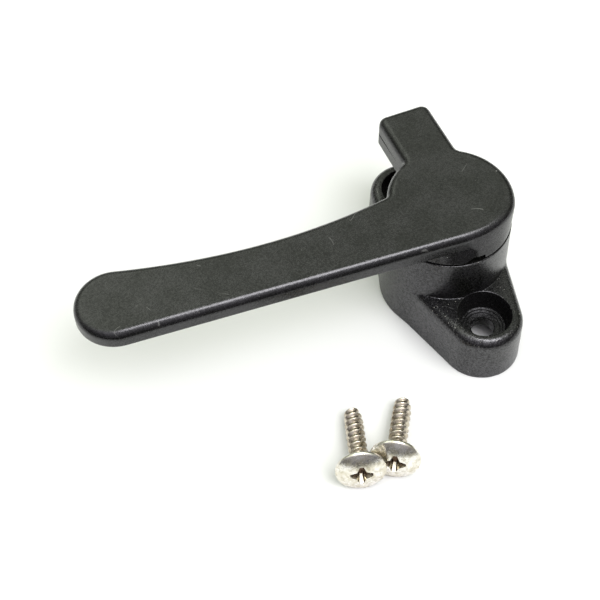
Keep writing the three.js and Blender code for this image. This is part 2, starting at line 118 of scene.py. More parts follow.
# Handle
HUB_RADIUS = 14.8
HUB_FRONT_LEFT = -8  # x at which the hub's front side ends and the lever begins
LEVER_TOP = LEVER_HIGH[2]
LEVER_BOTTOM = LEVER_LOW[2]
LEVER_FILLET = 1.9
LEVER_EDGE_ROUND = 0.35
TIP_RADIUS = 9.2
TIP_CENTRE = np.array([LEVER_LOW[0] + TIP_RADIUS, 1.75])
TIP_NEAR_ANGLE = -94
TIP_FAR_ANGLE = 74
WAIST_PULL = (-44.7, 1)
WAIST_ANGLE = 156
BEND_START = (-3, -12.94)
BEND_START_PULL = (7.5, -13.68)
BEND_END_PULL = (11.93, -9.42)
BEND_END_ANGLE = -25
NOSE_LEFT = -5.5
NOSE_RIGHT = 7.8
NOSE_TIP = LEVER_HIGH[1]
NOSE_CORNER = 2.2
NOSE_RIGHT_SOFTENING = 1.1
NOSE_LEFT_SOFTENING = 0.8
WAIST_SOFTENING = 0.6
OUTLINE_SPACING = 0.3

# Seam between lever and cam plate: a hairline round the hub, and a groove towards the nose's tip
SEAM_HAIRLINE = 0.02
SEAM_GROOVE = 0.42
GROOVE_START, GROOVE_FULL = 17, 25  # y
FREE_EDGE_START, FREE_EDGE_FULL = -13.5, -16  # x
CAM_GROOVE_FACTOR = 1.2

# Collar: its upper rim dips inwards under the lever's near edge, its right side is flush with the
# lever's wall, and its lower rim has a notch. Angles are bearings from the pivot axis
COLLAR_RADIUS = 14.65
COLLAR_DIP = 2.2
COLLAR_DIP_ANGLE = -90
COLLAR_DIP_SPREAD = 60
COLLAR_EDGE_ROUND = 0.12
CAM_NOSE_SOFTENING = 1.0
FLUSH_FROM = -88
FLUSH_TO = -22
FLUSH_FADE = 10
NOTCH_START = -102
NOTCH_END = -81.5
NOTCH_DEPTH = 1.05
NOTCH_REACH = 2.4
GAP_WIDENING = 0.2  # what the gap over the boss gains on the CAD's
CAM_CLEARANCE = 0.02  # between the cam plate and the lever

# Openings of the handle: for the pivot stud's head and shank, the stop pin and the cam plate screws
HEXAGON_ACROSS_FLATS = 11.6
HEXAGON_FLOOR = 27.7
HEXAGON_TOP = 31.5
SHANK_BORE_RADIUS = 3.3
TRACK_FROM, TRACK_TO = 39, 231
TRACK_INNER, TRACK_OUTER = 11.05, 13.35
TRACK_TOP = 27.2
CAM_SCREW_CENTRES = ((1.05, 18.5), (1.05, 25))
CAM_SCREW_RADIUS = 1.5
CAM_SCREW_HEAD_RADIUS = 2.6
CAM_SCREW_SEAT = 27.2
CAM_SCREW_CONE = (31.7, 32.1)  # from the drilled wall to the tip

# Fixing screws
SCREW_LENGTH = 17.6
SCREW_HEAD_RADIUS = 5.8
SCREW_HEAD_HEIGHT = 2.4
SCREW_HEAD_CURVE = 11.5
SCREW_HEAD_RIM = 0.3
SCREW_HEAD_SINK = 0.3  # how far the shank reaches into the head
SCREW_TIP_RADIUS = 1.9
SCREW_CREST_RADIUS = 2.2
SCREW_ROOT_RADIUS = 1.5
SCREW_NECK = 0.45
SCREW_PITCH = 1.8
RIDGE_HALF_WIDTH = 0.38  # share of the pitch
THREAD_PHASE = 0.4  # share of a turn
SHANK_SIDES = 72
SHANK_LEVELS_PER_PITCH = 18
CROSS_LEVELS = (  # reach of the wings, half their width, half the core's, height over the head
    (0.4, 0.14, 0.2, -3.0),
    (1.3, 0.3, 0.55, -2.1),
    (2.1, 0.38, 0.8, -1.0),
    (2.6, 0.44, 1.05, -0.25),
    (2.95, 0.46, 1.2, 0.4),
)
CROSS_REACH = 3  # distance from the axis within which the cross lies
CROSS_EDGE = 0.08  # depth at which its finish begins
HEAD_ZONE, RECESS_ZONE, THREAD_ZONE = 0, 1, 2

# Meshes
OVERCUT = 1  # how far cutters pass a face
BASE_MARGIN = 0.4  # between the edge of a flat face and the ring of points that keeps it flat
LEVER_SOLE_MARGIN = 0.35
LEVER_TOP_MARGIN = 0.2
CAM_MARGIN = 0.3
WELD = 0.004
SLIVER = 0.001
SIDES = 96
FINE_SIDES = 128
SHARP = 35  # edges that turn by more than this stay sharp
SCREW_SHARP = 50

# ---- Camera and light: metres and radians, softboxes in degrees ----

TARGET = Vector((-0.03455, 0.00861, 0))
CAMERA_AZIMUTH = -0.388
CAMERA_ELEVATION = 0.943
CAMERA_ROLL = -0.015
CAMERA_DISTANCE = 0.32873
CAMERA_LENS = 79.42
FRONT = Vector((math.sin(CAMERA_AZIMUTH), -math.cos(CAMERA_AZIMUTH), 0))
RIGHT = Vector((math.cos(CAMERA_AZIMUTH), math.sin(CAMERA_AZIMUTH), 0))
SOFTBOX_DISTANCE = 1.0

# Radiance of the sky on the camera's side and on the far side, by the height of the direction
NEAR_SKY = (
    (0.0, 0.2),
    (0.09, 0.22),
    (0.34, 0.36),
    (0.56, 0.68),
    (0.73, 1.05),
    (0.88, 1.7),
    (1.0, 2.0),
)
FAR_SKY = ((0.0, 0.12), (0.5, 0.36), (0.7, 1.34), (0.79, 0.98), (0.86, 1.0), (1.0, 1.2))
NEAR_TINT = (1.0, 0.985, 1.03)
FAR_TINT = (0.97, 1.04, 0.86)
SKY_PEAK = 2.1
LEFT_GAIN = 0.95
SIDE_GAIN = 0.68

# Table and dark card, in millimetres
TABLE_HEIGHT = -0.02
TABLE_REACH = 6000
CARD_HEIGHT = 0.5
CARD_DISTANCE = 102
CARD_DEPTH = 1500
CARD_WIDTH = 3000


# ---- Outlines ----


def direction(degrees):
    return np.array([math.cos(math.radians(degrees)), math.sin(math.radians(degrees))])


def arc(centre, radius, start, end, spacing=OUTLINE_SPACING):
    """Points along a circular arc, angles in degrees."""
    length = abs(math.radians(end - start)) * radius
    angles = np.radians(np.linspace(start, end, max(3, math.ceil(length / spacing) + 1)))
    return np.array(centre) + radius * np.stack([np.cos(angles), np.sin(angles)], 1)


def bezier(*controls, count=60):
    """Points along a Bezier curve of any degree."""
    t = np.linspace(0, 1, count)[:, None]
    points = [np.array(c, float) for c in controls]
    n = len(points) - 1
    return sum(
        math.comb(n, k) * (1 - t) ** (n - k) * t**k * p for k, p in enumerate(points)
    )


def resample(points, spacing):
    """A closed outline with evenly spaced points."""
    closed = np.vstack([points, points[:1]])
    steps = np.linalg.norm(np.diff(closed, axis=0), axis=1)
    closed = closed[np.r_[True, steps > 1e-6]]
    along = np.r_[0, np.cumsum(np.linalg.norm(np.diff(closed, axis=0), axis=1))]
    wanted = np.linspace(0, along[-1], round(along[-1] / spacing) + 1)[:-1]
    return np.stack([np.interp(wanted, along, closed[:, k]) for k in (0, 1)], 1)


def soften_corner(points, corner, reach):
    """Replaces an outline's stretch within reach of a corner by a curve tangent to both sides."""
    near = np.linalg.norm(points - np.array(corner), axis=1) < reach
    shift = -int(np.argmin(near)) if near[0] else 0
    rolled, mask = np.roll(points, shift, 0), np.roll(near, shift)
    first, last = np.flatnonzero(mask)[[0, -1]]
    before, after = rolled[first - 1], rolled[(last + 1) % len(rolled)]
    curve = bezier(before, corner, after, count=last - first + 3)
    rolled[first : last + 1] = curve[1:-1]
    return rolled


def outward(points):
    """Unit normals of a counterclockwise outline."""
    along = np.roll(points, -1, 0) - np.roll(points, 1, 0)
    normals = np.stack([along[:, 1], -along[:, 0]], 1)
    return normals / np.linalg.norm(normals, axis=1, keepdims=True)


def smoothstep(low, high, value):
    """From 0 at low to 1 at high with a soft start and end; low may be the larger number."""
    t = np.clip((np.asarray(value, float) - low) / (high - low), 0, 1)
    return t * t * (3 - 2 * t)


def smooth_max(a, b, reach):
    """The larger of two values, blended where they differ by less than reach."""
    h = np.clip(reach - np.abs(a - b), 0, None) / reach
    return np.maximum(a, b) + h * h * reach / 4


def wrapped(degrees):
    """Angles brought between -180 and 180 degrees."""
    return (degrees + 180) % 360 - 180


# ---- Meshes ----


def make_object(name, vertices, faces, sharp=SHARP):
    """A mesh object from millimetre vertices, smooth except along sharp edges."""
    mesh = bpy.data.meshes.new(name)
    mesh.from_pydata((np.asarray(vertices, float) * MM).tolist(), [], faces)
    work = bmesh.new()
    work.from_mesh(mesh)
    bmesh.ops.remove_doubles(work, verts=work.verts, dist=WELD * MM)
    bmesh.ops.dissolve_degenerate(work, edges=work.edges, dist=SLIVER * MM)
    bmesh.ops.recalc_face_normals(work, faces=work.faces)
    work.to_mesh(mesh)
    work.free()
    shade(mesh, sharp)
    made = bpy.data.objects.new(name, mesh)
    bpy.context.scene.collection.objects.link(made)
    return made


def shade(mesh, sharp):
    """Smooth shading, except along edges sharper than an angle in degrees."""
    mesh.shade_smooth()
    mesh.set_sharp_from_angle(angle=math.radians(sharp))


def ring_faces(rings, count):
    """Quads between successive rings of count points."""
    faces = []
    for low in range(0, (rings - 1) * count, count):
        high = low + count
        for i in range(count):
            following = (i + 1) % count
            faces.append((low + i, low + following, high + following, high + i))
    return faces


def skin(name, rings, sharp=SHARP):
    """A closed solid through rings of equal length from bottom to top, with flat caps."""
    count = len(rings[0])
    faces = ring_faces(len(rings), count)
    faces.append(tuple(reversed(range(count))))
    faces.append(tuple(range((len(rings) - 1) * count, len(rings) * count)))
    return make_object(name, np.vstack(rings), faces, sharp)


def ring_at(points, height):
    """Points of a plan outline, all at one height or each at its own."""
    return np.column_stack([points, np.broadcast_to(height, len(points))])


def turned(name, profile, sides=SIDES, centre=(0, 0), sharp=SHARP):
    """A solid turned about a vertical axis; its profile (radius, height) starts and ends on it."""
    angles = np.linspace(0, 2 * math.pi, sides, endpoint=False)
    circle = np.stack([np.cos(angles), np.sin(angles)], 1)
    rings = [ring_at(np.array(centre) + max(r, 1e-4) * circle, z) for r, z in profile]
    return skin(name, rings, sharp)


def cylinder(name, radius, low, high, sides, centre=(0, 0)):
    return turned(name, [(0, low), (radius, low), (radius, high), (0, high)], sides, centre)


def quarter(radius, steps=8):
    """Pairs (inset, rise) along a convex quarter round, from its vertical side to its flat side."""
    angles = np.linspace(0, math.pi / 2, steps + 1)
    return [(radius * (1 - math.cos(a)), radius * math.sin(a)) for a in angles]


def combine(target, others, operation="DIFFERENCE", sharp=SHARP):
    """Cuts other objects from target, or joins them to it, and removes them."""
    for other in others:
        step = target.modifiers.new(other.name, "BOOLEAN")
        step.object, step.operation, step.solver = other, operation, "EXACT"
    bpy.context.view_layer.update()
    evaluated = target.evaluated_get(bpy.context.evaluated_depsgraph_get())
    mesh = bpy.data.meshes.new_from_object(evaluated)
    target.modifiers.clear()
    target.data = mesh
    for other in others:
        bpy.data.objects.remove(other)
    shade(mesh, sharp)
    return target


# ---- Base ----


def lozenge(lobe_radius, waist_radius):
    """The hull of the waist circle and two lobes, with the same number of points at any size."""
    offset = HOLE_PITCH / 2
    turn = math.degrees(math.asin((waist_radius - lobe_radius) / offset))

    def part(centre_y, radius, start, end, steps):
        angles = np.radians(np.linspace(start, end, steps + 1))
        return np.stack([radius * np.cos(angles), centre_y + radius * np.sin(angles)], 1)

    corners = [
        part(0, waist_radius, -turn, turn, 16),
        part(offset, lobe_radius, turn, 180 - turn, 90),
        part(0, waist_radius, 180 - turn, 180 + turn, 16),
        part(-offset, lobe_radius, 180 + turn, 360 - turn, 90),
    ]
    outline = []
    for this, following in zip(corners, corners[1:] + corners[:1]):
        outline.append(this)
        straight = np.linspace(this[-1], following[0], 47)[1:-1]
        outline.append(straight)
    return np.vstack(outline)


def boss_radius(height):
    return BOSS_RADIUS_LOW - BOSS_DRAFT * height / BOSS_TOP


def flange_ring(inset, height):
    """One level of the flange, swollen where the boss stands out of it."""
    share = min(height / (FLANGE_TOP - FLANGE_FILLET), 1)
    outline = lozenge(
        LOBE_RADIUS_LOW - LOBE_DRAFT * share - inset,
        WAIST_RADIUS_LOW - WAIST_DRAFT * share - inset,
    )
    reach = np.linalg.norm(outline, axis=1, keepdims=True)
    grown = smooth_max(reach, boss_radius(height) - inset * (height < SOLE_ROUND), BOSS_BLEND)
    return ring_at(outline / reach * grown, height)


def base_shell():
    """The base without its openings: the flange, its flat top, the boss's foot and the boss."""
    rings = [flange_ring(SOLE_ROUND + BASE_MARGIN, 0)]
    for inset, rise in reversed(quarter(SOLE_ROUND, 4)):
        rings.append(flange_ring(inset, SOLE_ROUND - rise))
    fillet_start = FLANGE_TOP - FLANGE_FILLET
    rings += [flange_ring(0, z) for z in np.linspace(SOLE_ROUND, fillet_start, 20)[1:]]
    for inset, rise in quarter(FLANGE_FILLET, 12)[1:]:
        rings.append(flange_ring(inset, fillet_start + rise))

    edge = rings[-1][:, :2]
    reach = np.linalg.norm(edge, axis=1, keepdims=True)
    heading = edge / reach
    wall = boss_radius(FLANGE_TOP)
    foot = np.minimum(reach, wall + BOSS_FOOT_ROUND)
    for share in np.linspace(0, 1, 13)[1:]:
        rings.append(ring_at(heading * (reach + (foot - reach) * share), FLANGE_TOP))
    room = foot - wall
    for angle in np.linspace(0, math.pi / 2, 8)[1:]:
        radius = wall + room * (1 - math.sin(angle))
        rings.append(ring_at(heading * radius, FLANGE_TOP + room[:, 0] * (1 - math.cos(angle))))
    low = FLANGE_TOP + room[:, 0]
    high = BOSS_TOP - BOSS_RIM_ROUND
    for share in np.linspace(0, 1, 22)[1:]:
        z = low + (high - low) * share
        rings.append(ring_at(heading * boss_radius(z)[:, None], z))
    for inset, rise in quarter(BOSS_RIM_ROUND, 5)[1:]:
        rings.append(ring_at(heading * (boss_radius(high) - inset), high + rise))
    rings.append(ring_at(heading * (boss_radius(high) - BOSS_RIM_ROUND - BASE_MARGIN), BOSS_TOP))
    return skin("base_shell", rings)


def screw_hole_cutter(y):
    """Relief from below, clearance hole, stepped seat and tapered counterbore on one axis."""
    rim = COUNTERBORE_RIM_ROUND
    above = FLANGE_TOP + 0.9
    profile = [
        (0, -OVERCUT),
        (RELIEF_RADIUS, -OVERCUT),
        (RELIEF_RADIUS, RELIEF_TOP - RELIEF_CORNER),
        (RELIEF_RADIUS - RELIEF_CORNER, RELIEF_TOP),
        (CLEARANCE_RADIUS + CLEARANCE_CHAMFER, RELIEF_TOP),
        (CLEARANCE_RADIUS, RELIEF_TOP + CLEARANCE_CHAMFER),
        (CLEARANCE_RADIUS, CLEARANCE_TOP),
        *SEAT_STEPS,
        (COUNTERBORE_RADIUS, FLANGE_TOP - rim),
    ]
    for angle in np.linspace(COUNTERBORE_TAPER, math.pi / 2, 6):
        radius = COUNTERBORE_RADIUS + rim * (1 - math.cos(angle))
        profile.append((radius, FLANGE_TOP - rim + rim * math.sin(angle)))
    profile += [(profile[-1][0], above), (0, above)]
    return turned(f"cut_hole_{y:.0f}", profile, FINE_SIDES, (0, y))


def build_base():
    above = BOSS_TOP + OVERCUT
    cutters = [
        turned(
            "cut_bore",
            [
                (0, -OVERCUT),
                (RECESS_RADIUS, -OVERCUT),
                (RECESS_RADIUS, RECESS_TOP - RECESS_CORNER),
                (RECESS_RADIUS - RECESS_CORNER, RECESS_TOP),
                (PIVOT_BORE_RADIUS, RECESS_TOP),
                (PIVOT_BORE_RADIUS, BUSH_SEAT_FLOOR),
                (BUSH_SEAT_RADIUS, BUSH_SEAT_FLOOR),
                (BUSH_SEAT_RADIUS, above),
                (0, above),
            ],
        ),
        screw_hole_cutter(-HOLE_PITCH / 2),
        screw_hole_cutter(HOLE_PITCH / 2),
    ]
    # Pockets for the click stops' springs and for the stop pin
    pockets = [(angle, DETENT_POCKET) for angle in DETENT_ANGLES]
    pockets.append((STOP_PIN_ANGLE, STOP_PIN_POCKET))
    for angle, (radius, floor, distance) in pockets:
        centre = distance * direction(angle)
        cutters.append(cylinder(f"cut_pocket_{angle}", radius, floor, above, 32, centre))
    body = combine(base_shell(), cutters)
    body.name = "base_moulding"
    return body


# ---- Handle ----


def hub_bearing(x):
    """Bearing in degrees, from the pivot axis, of the point at x on the hub's far side."""
    return math.degrees(math.acos(x / HUB_RADIUS))


def nose_points():
    """The nose's sides and tip, from its right root to its left root, without the roots."""
    y = NOSE_TIP - NOSE_CORNER
    root_right = np.array([NOSE_RIGHT, math.sqrt(HUB_RADIUS**2 - NOSE_RIGHT**2)])
    root_left = np.array([NOSE_LEFT, math.sqrt(HUB_RADIUS**2 - NOSE_LEFT**2)])
    return np.vstack(
        [
            np.linspace(root_right, (NOSE_RIGHT, y), 40)[1:-1],
            arc((NOSE_RIGHT - NOSE_CORNER, y), NOSE_CORNER, 0, 90, OUTLINE_SPACING / 3),
            arc((NOSE_LEFT + NOSE_CORNER, y), NOSE_CORNER, 90, 180, OUTLINE_SPACING / 3),
            np.linspace((NOSE_LEFT, y), root_left, 40)[1:-1],
        ]
    )


def lever_outline():
    """Plan of the lever, counterclockwise from the near side of its tip."""
    right_angle, left_angle = hub_bearing(NOSE_RIGHT), hub_bearing(NOSE_LEFT)
    near = TIP_CENTRE + TIP_RADIUS * direction(TIP_NEAR_ANGLE)
    far = TIP_CENTRE + TIP_RADIUS * direction(TIP_FAR_ANGLE)
    waist = HUB_RADIUS * direction(WAIST_ANGLE)
    bend_end = HUB_RADIUS * direction(BEND_END_ANGLE)
    points = np.vstack(
        [
            np.linspace(near, BEND_START, 200),
            bezier(BEND_START, BEND_START_PULL, BEND_END_PULL, bend_end, count=120),
            arc((0, 0), HUB_RADIUS, BEND_END_ANGLE, right_angle),
            nose_points(),
            arc((0, 0), HUB_RADIUS, left_angle, WAIST_ANGLE),
            bezier(waist, WAIST_PULL, far, count=200),
            arc(TIP_CENTRE, TIP_RADIUS, TIP_FAR_ANGLE, 360 + TIP_NEAR_ANGLE),
        ]
    )
    points = resample(points, OUTLINE_SPACING)
    points = soften_corner(points, HUB_RADIUS * direction(right_angle), NOSE_RIGHT_SOFTENING)
    points = soften_corner(points, HUB_RADIUS * direction(left_angle), NOSE_LEFT_SOFTENING)
    points = soften_corner(points, waist, WAIST_SOFTENING)
    return resample(points, OUTLINE_SPACING)


def groove_width(y):
    """How wide the seam opens: a groove at the nose's tip, a hairline round the hub."""
    return SEAM_HAIRLINE + SEAM_GROOVE / 2 * smoothstep(GROOVE_START, GROOVE_FULL, y)


def lower_edge_round(points):
    """Rounding of the lever's lower edge: the seam's over the cam plate, larger where free."""
    x, y = points.T
    free = smoothstep(FREE_EDGE_START, FREE_EDGE_FULL, x)
    return groove_width(y) + (LEVER_EDGE_ROUND - SEAM_HAIRLINE) * free


def flush_share(bearing):
    """From 0 to 1, how far the lever's wall and the collar run into each other at a bearing."""
    begun = smoothstep(FLUSH_FROM - FLUSH_FADE, FLUSH_FROM, bearing)
    return begun * (1 - smoothstep(FLUSH_TO, FLUSH_TO + FLUSH_FADE, bearing))


def wall_lean(points):
    """Slope, in radians, of the lever's wall where it runs straight into the collar."""
    x, y = points.T
    gap = np.clip(COLLAR_RADIUS - np.hypot(x, y), 0, None) * (x > HUB_FRONT_LEFT)
    flush = flush_share(np.degrees(np.arctan2(y, x)))
    return flush * np.arctan(gap / (LEVER_TOP - LEVER_FILLET - CAM_LOW[2]))


def lever_level(height, inset=0.0, upright=0.0):
    """The lever's outline at a height below its top fillet, or at a share of the fillet's arc."""
    outline = lever_outline()
    lean = wall_lean(outline)
    angle = lean + (math.pi / 2 - lean) * upright
    start = LEVER_TOP - LEVER_FILLET * (1 - np.sin(angle))
    height = start if upright else np.minimum(height, start)
    out = np.tan(lean) * (start - height) - LEVER_FILLET * (1 - np.cos(angle)) - inset
    return ring_at(outline + outward(outline) * out[:, None], height)


def hexagon_cutter(low, high):
    """Room for the pivot stud's hexagonal head."""
    spokes = np.array([direction(a) for a in range(0, 360, 60)])
    corners = spokes * HEXAGON_ACROSS_FLATS / math.sqrt(3)
    return skin("cut_hex", [ring_at(corners, low), ring_at(corners, high)])


def build_lever():
    outline = lever_outline()
    edge = lower_edge_round(outline)
    start = LEVER_TOP - LEVER_FILLET
    rings = [lever_level(np.full(len(outline), LEVER_BOTTOM), edge + LEVER_SOLE_MARGIN)]
    for inset, rise in reversed(quarter(1, 4)):
        rings.append(lever_level(LEVER_BOTTOM + edge * (1 - rise), edge * inset))
    low = LEVER_BOTTOM + edge
    rings += [lever_level(low + (start - low) * share) for share in np.linspace(0, 1, 7)[1:-1]]
    rings += [lever_level(LEVER_TOP, upright=share) for share in np.linspace(0, 1, 19)[1:]]
    rings.append(ring_at(outline - outward(outline) * (LEVER_FILLET + LEVER_TOP_MARGIN), LEVER_TOP))
    lever = skin("lever_moulding", rings)

    below, radius = LEVER_BOTTOM - OVERCUT, CAM_SCREW_RADIUS
    cutters = [hexagon_cutter(below, HEXAGON_TOP)]
    cone_start, cone_tip = CAM_SCREW_CONE
    for centre in CAM_SCREW_CENTRES:
        profile = [(0, below), (radius, below), (radius, cone_start), (0, cone_tip)]
        cutters.append(turned("cut_screw", profile, 32, centre))
    return combine(lever, cutters)


def lever_reach(bearings):
    """Distance from the pivot axis to the lever's lower edge, at bearings on the hub's front."""
    x, y, _ = lever_level(LEVER_BOTTOM).T
    bearing = np.degrees(np.arctan2(y, x))
    front = (bearing > -110) & (bearing < 0) & (x > HUB_FRONT_LEFT)
    order = np.argsort(bearing[front])
    return np.interp(bearings, bearing[front][order], np.hypot(x, y)[front][order])


def cam_outline(share):
    """Plan of the cam plate at a share of its height: the collar's circle and the nose.

    The upper rim draws in under the lever's near edge, and meets its wall on the front right.
    """
    angles = np.linspace(hub_bearing(NOSE_LEFT), 360 + hub_bearing(NOSE_RIGHT), 260)
    offset = wrapped(angles - COLLAR_DIP_ANGLE) / COLLAR_DIP_SPREAD
    dip = np.where(np.abs(offset) < 1, COLLAR_DIP * np.cos(offset * math.pi / 2) ** 2, 0)
    bearing = wrapped(angles)
    above = HUB_RADIUS - dip + flush_share(bearing) * (lever_reach(bearing) - HUB_RADIUS + dip)
    radius = COLLAR_RADIUS + (above - COLLAR_RADIUS) * share
    heading = np.radians(angles)
    circle = radius[:, None] * np.stack([np.cos(heading), np.sin(heading)], 1)
    points = np.vstack([circle, nose_points()])
    for corner in (circle[0], circle[-1]):
        points = soften_corner(points, corner, CAM_NOSE_SOFTENING)
    return points


def notch_cutter(bottom):
    """A ramp along the collar's lower rim, deepest near its right end."""
    inner, outer = COLLAR_RADIUS - NOTCH_REACH, COLLAR_RADIUS + 1
    rings = []
    for share in np.linspace(0, 1, 16):
        heading = direction(NOTCH_START + (NOTCH_END - NOTCH_START) * share)
        rise = smoothstep(-0.1, 0.6, share) - 0.15 * smoothstep(0.55, 1, share)
        top, below = bottom + NOTCH_DEPTH * rise, bottom - OVERCUT
        corners = ((inner, below), (outer, below), (outer, top), (inner, top))
        rings.append(np.array([(*(heading * radius), z) for radius, z in corners]))
    return skin("cut_notch", rings)


def track_cutter(below):
    """The arc groove that the stop pin runs in."""
    angles = np.linspace(math.radians(TRACK_FROM), math.radians(TRACK_TO), 60)
    circle = np.stack([np.cos(angles), np.sin(angles)], 1)
    track = np.vstack([circle * TRACK_OUTER, circle[::-1] * TRACK_INNER])
    return skin("cut_track", [ring_at(track, below), ring_at(track, TRACK_TOP)])


def build_cam_plate():
    bottom, top = CAM_LOW[2] + GAP_WIDENING, LEVER_BOTTOM - CAM_CLEARANCE
    below, above = bottom - OVERCUT, top + OVERCUT
    edge = COLLAR_EDGE_ROUND

    def level(inset, z):
        outline = cam_outline(np.clip((z - bottom) / (CAM_HIGH[2] - bottom), 0, 1))
        return ring_at(outline - outward(outline) * inset, z)

    rings = [level(edge + CAM_MARGIN, bottom)]
    rings += [level(inset, bottom + edge - rise) for inset, rise in reversed(quarter(edge, 4))]
    rings += [level(0, z) for z in np.linspace(bottom + edge, top - SEAM_GROOVE, 14)[1:]]
    outline = cam_outline(1)
    normals = outward(outline)
    groove = groove_width(outline[:, 1])[:, None] * CAM_GROOVE_FACTOR
    for share in (0, 0.5, 1):
        rings.append(ring_at(outline - normals * groove * share, top - groove[:, 0] * (1 - share)))
    rings.append(ring_at(outline - normals * (groove + CAM_MARGIN), top))
    plate = skin("cam_plate_moulding", rings)

    cutters = [
        cylinder("cut_shank", SHANK_BORE_RADIUS, below, above, 48),
        hexagon_cutter(HEXAGON_FLOOR, above),
        track_cutter(below),
        notch_cutter(bottom),
    ]
    profile = [
        (0, below),
        (CAM_SCREW_HEAD_RADIUS, below),
        (CAM_SCREW_HEAD_RADIUS, CAM_SCREW_SEAT),
        (CAM_SCREW_RADIUS, CAM_SCREW_SEAT),
        (CAM_SCREW_RADIUS, above),
        (0, above),
    ]
    cutters += [turned("cut_screw", profile, 40, centre) for centre in CAM_SCREW_CENTRES]
    return combine(plate, cutters)


# ---- Fixing screws ----


def screw_shank():
    """The threaded shank: a surface whose radius follows one helical ridge with a sharp crest."""
    length = SCREW_LENGTH + SCREW_HEAD_SINK
    heights = np.linspace(0.0, length, round(length / SCREW_PITCH * SHANK_LEVELS_PER_PITCH))
    angles = np.linspace(0, 2 * math.pi, SHANK_SIDES, endpoint=False)
    z, a = np.meshgrid(heights, angles, indexing="ij")
    phase = (z / SCREW_PITCH - a / (2 * math.pi) + THREAD_PHASE) % 1
    ridge = smoothstep(0, 1, 1 - np.abs(phase - 0.5) / RIDGE_HALF_WIDTH)

    # Crest and root taper towards the tip
    taper = SCREW_TIP_RADIUS / SCREW_CREST_RADIUS
    crest = SCREW_CREST_RADIUS * (taper + (1 - taper) * smoothstep(0, 4, z))
    root = SCREW_ROOT_RADIUS * (0.86 + 0.14 * smoothstep(0, 3, z))

    # The ridge rises at the tip and runs out under the head, where the root widens into a neck
    fade = smoothstep(-0.4, 1.2, z)
    fade *= 1 - smoothstep(SCREW_LENGTH - 1.6, SCREW_LENGTH - 0.6, z)
    neck = SCREW_NECK * smoothstep(SCREW_LENGTH - 1.2, SCREW_LENGTH + 0.2, z)
    radius = root + (crest - root) * ridge * fade + neck

    # The end is blunt, with a rounded edge
    radius *= 0.8 + 0.2 * smoothstep(0, 0.35, z)
    surface = np.stack([radius * np.cos(a), radius * np.sin(a), z], 2)
    return skin("screw_shank", list(surface), SCREW_SHARP)


def screw_head():
    """A truss head: an upright edge with rounded corners under a shallow dome."""
    rim, base = SCREW_HEAD_RIM, SCREW_LENGTH
    profile = [(0, base), (SCREW_HEAD_RADIUS - 0.35, base)]
    profile += [(SCREW_HEAD_RADIUS - 0.1, base + 0.06), (SCREW_HEAD_RADIUS, base + 0.22)]
    dome, reach = SCREW_HEAD_CURVE, SCREW_HEAD_RADIUS - rim
    slope = math.asin(reach / dome)
    corner = rim / (1 - math.sin(slope))
    start = base + SCREW_HEAD_HEIGHT - dome * (1 - math.cos(slope)) - corner * math.cos(slope)
    for angle in np.linspace(0, math.pi / 2 - slope, 8)[:-1]:
        radius = SCREW_HEAD_RADIUS - corner * (1 - math.cos(angle))
        profile.append((radius, start + corner * math.sin(angle)))
    for angle in np.linspace(slope, 0, 36):
        height = base + SCREW_HEAD_HEIGHT - dome * (1 - math.cos(angle))
        profile.append((dome * math.sin(angle), height))
    return turned("screw_head", profile, FINE_SIDES, sharp=SCREW_SHARP)


def turn_matrix(degrees):
    """The matrix that turns a plan by an angle."""
    c, s = direction(degrees)
    return np.array([[c, -s], [s, c]])


def phillips_cutter():
    """A cross with tapering wings over a pointed centre."""
    top = SCREW_LENGTH + SCREW_HEAD_HEIGHT
    rings = []
    for length, width, core, rise in CROSS_LEVELS:
        wing = np.array([(length, -width), (length, width), (core, core)])
        outline = np.vstack([wing @ turn_matrix(a).T for a in (0, 90, 180, 270)])
        rings.append(ring_at(outline, top + rise))
    return skin("cut_phillips", rings)


def screw_zone(x, y, z):
    """Which finish a point of an upright screw takes; what lies below the dome is the cross."""
    if z < SCREW_LENGTH - 0.01:
        return THREAD_ZONE
    squared = x * x + y * y
    dome = SCREW_LENGTH + SCREW_HEAD_HEIGHT - squared / SCREW_HEAD_CURVE / 2
    return RECESS_ZONE if squared < CROSS_REACH**2 and z < dome - CROSS_EDGE else HEAD_ZONE


def lay_screw(node, name, heading):
    """Builds a fixing screw and lays it where its CAD solid lies, from its tip along a heading."""
    screw = combine(screw_head(), [phillips_cutter()], sharp=SCREW_SHARP)
    screw = combine(screw, [screw_shank()], "UNION", sharp=SCREW_SHARP)
    screw.name = name
    screw["zones"] = [screw_zone(*(face.center / MM)) for face in screw.data.polygons]
    slope = math.atan2(SCREW_HEAD_RADIUS - SCREW_TIP_RADIUS, SCREW_LENGTH)
    x, y = direction(heading)
    axis = Vector((x * math.cos(slope), y * math.cos(slope), math.sin(slope)))
    vertices = [v.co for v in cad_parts[node].data.vertices]
    along = [v.dot(axis) for v in vertices]
    end = [v for v, d in zip(vertices, along) if d < min(along) + 0.05 * MM]
    tip = sum(end, Vector()) / len(end)
    across = Vector((-y, x, 0))
    turn = Matrix((across, axis.cross(across), axis)).transposed().to_4x4()
    screw.data.transform(Matrix.Translation(tip) @ turn)
    return screw


# ---- Materials ----


